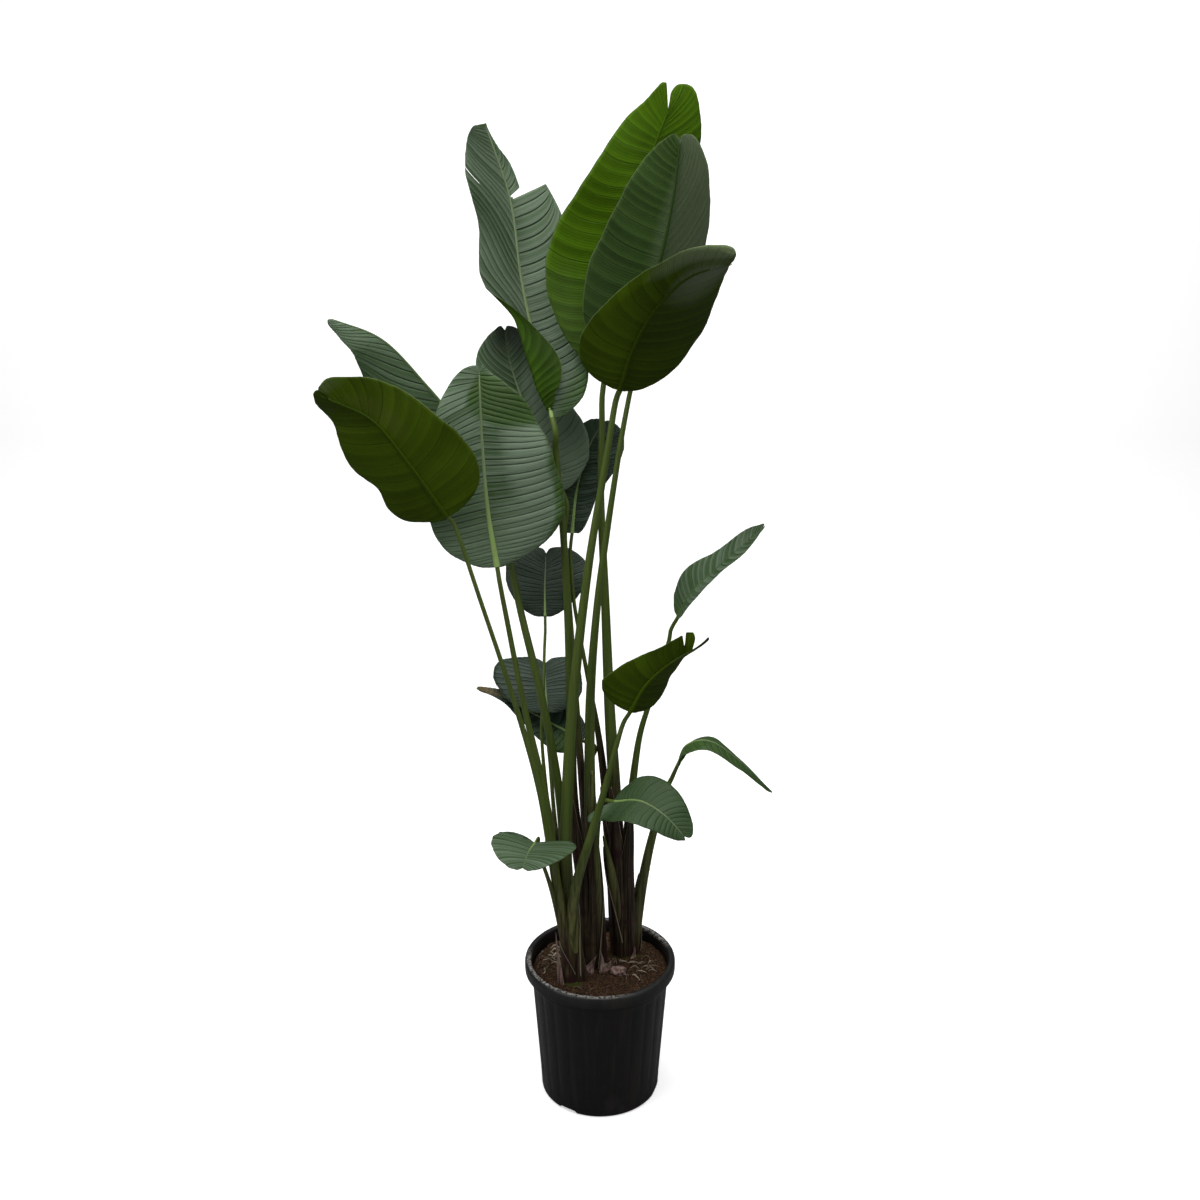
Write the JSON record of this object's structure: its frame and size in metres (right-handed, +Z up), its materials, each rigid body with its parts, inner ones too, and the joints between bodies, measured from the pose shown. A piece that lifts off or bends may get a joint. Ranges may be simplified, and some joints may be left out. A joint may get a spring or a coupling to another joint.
{
  "type": "potted bird of paradise",
  "caption": "Tall potted bird of paradise: long-stalked paddle leaves rising in sheathed fans from soil, in a plain round nursery pot with a folded rim.",
  "frame": {"origin": "middle of the pot's underside, on the surface that it stands on", "axes": "+Z up along the pot and the stalks, +X to the right and -Y towards the viewer of the plant's show side"},
  "size_m": [0.9208, 0.4952, 2.188],
  "materials": {
    "pot": "satin near-black moulded plastic with fine upright ribs",
    "soil": "coarse dark brown potting mix, matt",
    "stalk": "smooth green stalks, brown and purple at the sheaths",
    "leaf_blade": "leathery grey-green, semi-gloss, ribbed across",
    "leaf_old": "leathery green blade that ends in a dried tip"
  },
  "bodies": {
    "root": {"pot": "pot", "soil": "soil", "stalks_left": "stalk", "stalks_centre": "stalk", "stalks_right": "stalk", "leaf_top_right": "leaf_blade", "leaf_top_cupped": "leaf_blade", "leaf_top_front": "leaf_blade", "leaf_torn": "leaf_blade", "leaf_far_left_front": "leaf_blade", "leaf_far_left_back": "leaf_blade", "leaf_large_front": "leaf_blade", "leaf_dark_back": "leaf_blade", "leaf_slim_back": "leaf_blade", "leaf_small_round": "leaf_blade", "leaf_low_arched": "leaf_blade", "leaf_low_dry_tip": "leaf_old", "leaf_right_high": "leaf_blade", "leaf_right_middle": "leaf_blade", "leaf_right_drooping": "leaf_blade", "leaf_right_low": "leaf_blade", "leaf_left_low": "leaf_blade"}
  },
  "joints": []
}
